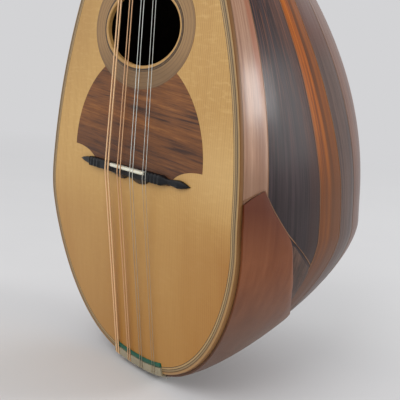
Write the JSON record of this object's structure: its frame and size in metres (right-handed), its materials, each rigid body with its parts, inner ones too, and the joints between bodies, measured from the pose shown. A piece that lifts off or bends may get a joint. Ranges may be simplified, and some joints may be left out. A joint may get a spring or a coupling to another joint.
{
  "type": "bowlback mandolin",
  "caption": "Bowl-backed teardrop mandolin with striped bowl, oval soundhole, inlaid pickguard, floating bridge, and geared tuners on a tilted head.",
  "frame": {"origin": "on the nut line, at the middle of the neck's front plane, where a hanger's yoke holds the neck under the head", "axes": "+Z along the neck towards the head, the soundboard faces -Y, +X towards the thin strings"},
  "size_m": [0.1988, 0.1785, 0.5946],
  "materials": {
    "spruce": "satin varnish, straight grain",
    "rosette_veneer": "satin varnish, fine rings",
    "light_ring": "satin varnish",
    "pickguard_rosewood": "satin varnish, cross grain",
    "edge_lines": "fine dark and light lines",
    "edging": "satin varnish",
    "pink_rosewood": "gloss varnish",
    "dark_rosewood": "gloss varnish",
    "orange_rosewood": "gloss varnish, dark stripe",
    "grey_rosewood": "gloss varnish",
    "mahogany": "gloss varnish",
    "ebony": "satin",
    "bone": "satin bone",
    "felt": "felt",
    "inside_wood": "bare wood",
    "bronze": "wound bronze",
    "steel": "plain steel wire",
    "nickel": "nickel plate"
  },
  "bodies": {
    "instrument_body": {"soundboard": "spruce", "hole_ring": "light_ring", "rosette": "rosette_veneer", "pickguard": "pickguard_rosewood", "edge_purfling": "edge_lines", "edge_binding": "edging", "lining_left": "inside_wood", "lining_right": "inside_wood", "brace_upper": "inside_wood", "brace_lower": "inside_wood", "neck_block": "inside_wood", "tail_block": "inside_wood", "rib_right_1": "pink_rosewood", "rib_right_2": "dark_rosewood", "rib_right_3": "orange_rosewood", "rib_right_4": "grey_rosewood", "rib_right_5": "pink_rosewood", "rib_right_6": "dark_rosewood", "rib_left_1": "pink_rosewood", "rib_left_2": "dark_rosewood", "rib_left_3": "orange_rosewood", "rib_left_4": "grey_rosewood", "rib_left_5": "pink_rosewood", "rib_left_6": "dark_rosewood", "rib_keel": "orange_rosewood", "tail_clasp": "mahogany", "tail_edge_guard": "bone", "felt_strip": "felt", "tailpiece": "nickel", "neck": "mahogany", "fingerboard": "ebony", "nut": "bone", "tuner_plate_left": "nickel", "tuner_plate_right": "nickel", "string_g1": "bronze", "string_g2": "bronze", "string_d1": "bronze", "string_d2": "bronze", "string_a1": "steel", "string_a2": "steel", "string_e1": "steel", "string_e2": "steel"},
    "floating_bridge": {"bridge": "ebony", "saddle": "bone"},
    "button_g1": {"button_g1": "bone"},
    "post_g1": {"post_g1": "nickel"},
    "button_g2": {"button_g2": "bone"},
    "post_g2": {"post_g2": "nickel"},
    "button_d1": {"button_d1": "bone"},
    "post_d1": {"post_d1": "nickel"},
    "button_d2": {"button_d2": "bone"},
    "post_d2": {"post_d2": "nickel"},
    "button_a1": {"button_a1": "bone"},
    "post_a1": {"post_a1": "nickel"},
    "button_a2": {"button_a2": "bone"},
    "post_a2": {"post_a2": "nickel"},
    "button_e1": {"button_e1": "bone"},
    "post_e1": {"post_e1": "nickel"},
    "button_e2": {"button_e2": "bone"},
    "post_e2": {"post_e2": "nickel"}
  },
  "joints": [
    {"name": "bridge_shift", "type": "slide", "parent": "instrument_body", "child": "floating_bridge", "axis": [0, 0, 1], "range_m": [-0.0015, 0.0015]},
    {"name": "button_turn_g1", "type": "hinge", "parent": "instrument_body", "child": "button_g1", "pos_m": [-0.022, 0.02766, 0.03727], "axis": [1, 0, 0], "continuous": true},
    {"name": "post_turn_g1", "type": "hinge", "parent": "instrument_body", "child": "post_g1", "pos_m": [-0.022, 0.00624, 0.03364], "axis": [0, -0.9781, 0.2079], "continuous": true},
    {"name": "button_turn_g2", "type": "hinge", "parent": "instrument_body", "child": "button_g2", "pos_m": [-0.022, 0.03244, 0.05977], "axis": [1, 0, 0], "continuous": true},
    {"name": "post_turn_g2", "type": "hinge", "parent": "instrument_body", "child": "post_g2", "pos_m": [-0.022, 0.01102, 0.05614], "axis": [0, -0.9781, 0.2079], "continuous": true},
    {"name": "button_turn_d1", "type": "hinge", "parent": "instrument_body", "child": "button_d1", "pos_m": [-0.022, 0.03722, 0.08227], "axis": [1, 0, 0], "continuous": true},
    {"name": "post_turn_d1", "type": "hinge", "parent": "instrument_body", "child": "post_d1", "pos_m": [-0.022, 0.0158, 0.07864], "axis": [0, -0.9781, 0.2079], "continuous": true},
    {"name": "button_turn_d2", "type": "hinge", "parent": "instrument_body", "child": "button_d2", "pos_m": [-0.022, 0.04201, 0.10476], "axis": [1, 0, 0], "continuous": true},
    {"name": "post_turn_d2", "type": "hinge", "parent": "instrument_body", "child": "post_d2", "pos_m": [-0.022, 0.02058, 0.10114], "axis": [0, -0.9781, 0.2079], "continuous": true},
    {"name": "button_turn_a1", "type": "hinge", "parent": "instrument_body", "child": "button_a1", "pos_m": [0.022, 0.04201, 0.10476], "axis": [1, 0, 0], "continuous": true},
    {"name": "post_turn_a1", "type": "hinge", "parent": "instrument_body", "child": "post_a1", "pos_m": [0.022, 0.02058, 0.10114], "axis": [0, -0.9781, 0.2079], "continuous": true},
    {"name": "button_turn_a2", "type": "hinge", "parent": "instrument_body", "child": "button_a2", "pos_m": [0.022, 0.03722, 0.08227], "axis": [1, 0, 0], "continuous": true},
    {"name": "post_turn_a2", "type": "hinge", "parent": "instrument_body", "child": "post_a2", "pos_m": [0.022, 0.0158, 0.07864], "axis": [0, -0.9781, 0.2079], "continuous": true},
    {"name": "button_turn_e1", "type": "hinge", "parent": "instrument_body", "child": "button_e1", "pos_m": [0.022, 0.03244, 0.05977], "axis": [1, 0, 0], "continuous": true},
    {"name": "post_turn_e1", "type": "hinge", "parent": "instrument_body", "child": "post_e1", "pos_m": [0.022, 0.01102, 0.05614], "axis": [0, -0.9781, 0.2079], "continuous": true},
    {"name": "button_turn_e2", "type": "hinge", "parent": "instrument_body", "child": "button_e2", "pos_m": [0.022, 0.02766, 0.03727], "axis": [1, 0, 0], "continuous": true},
    {"name": "post_turn_e2", "type": "hinge", "parent": "instrument_body", "child": "post_e2", "pos_m": [0.022, 0.00624, 0.03364], "axis": [0, -0.9781, 0.2079], "continuous": true}
  ],
  "couplings": [
    {"joint": "post_turn_g1", "follows": "button_turn_g1", "ratio": 0.071429},
    {"joint": "post_turn_g2", "follows": "button_turn_g2", "ratio": 0.071429},
    {"joint": "post_turn_d1", "follows": "button_turn_d1", "ratio": 0.071429},
    {"joint": "post_turn_d2", "follows": "button_turn_d2", "ratio": 0.071429},
    {"joint": "post_turn_a1", "follows": "button_turn_a1", "ratio": 0.071429},
    {"joint": "post_turn_a2", "follows": "button_turn_a2", "ratio": 0.071429},
    {"joint": "post_turn_e1", "follows": "button_turn_e1", "ratio": 0.071429},
    {"joint": "post_turn_e2", "follows": "button_turn_e2", "ratio": 0.071429}
  ]
}
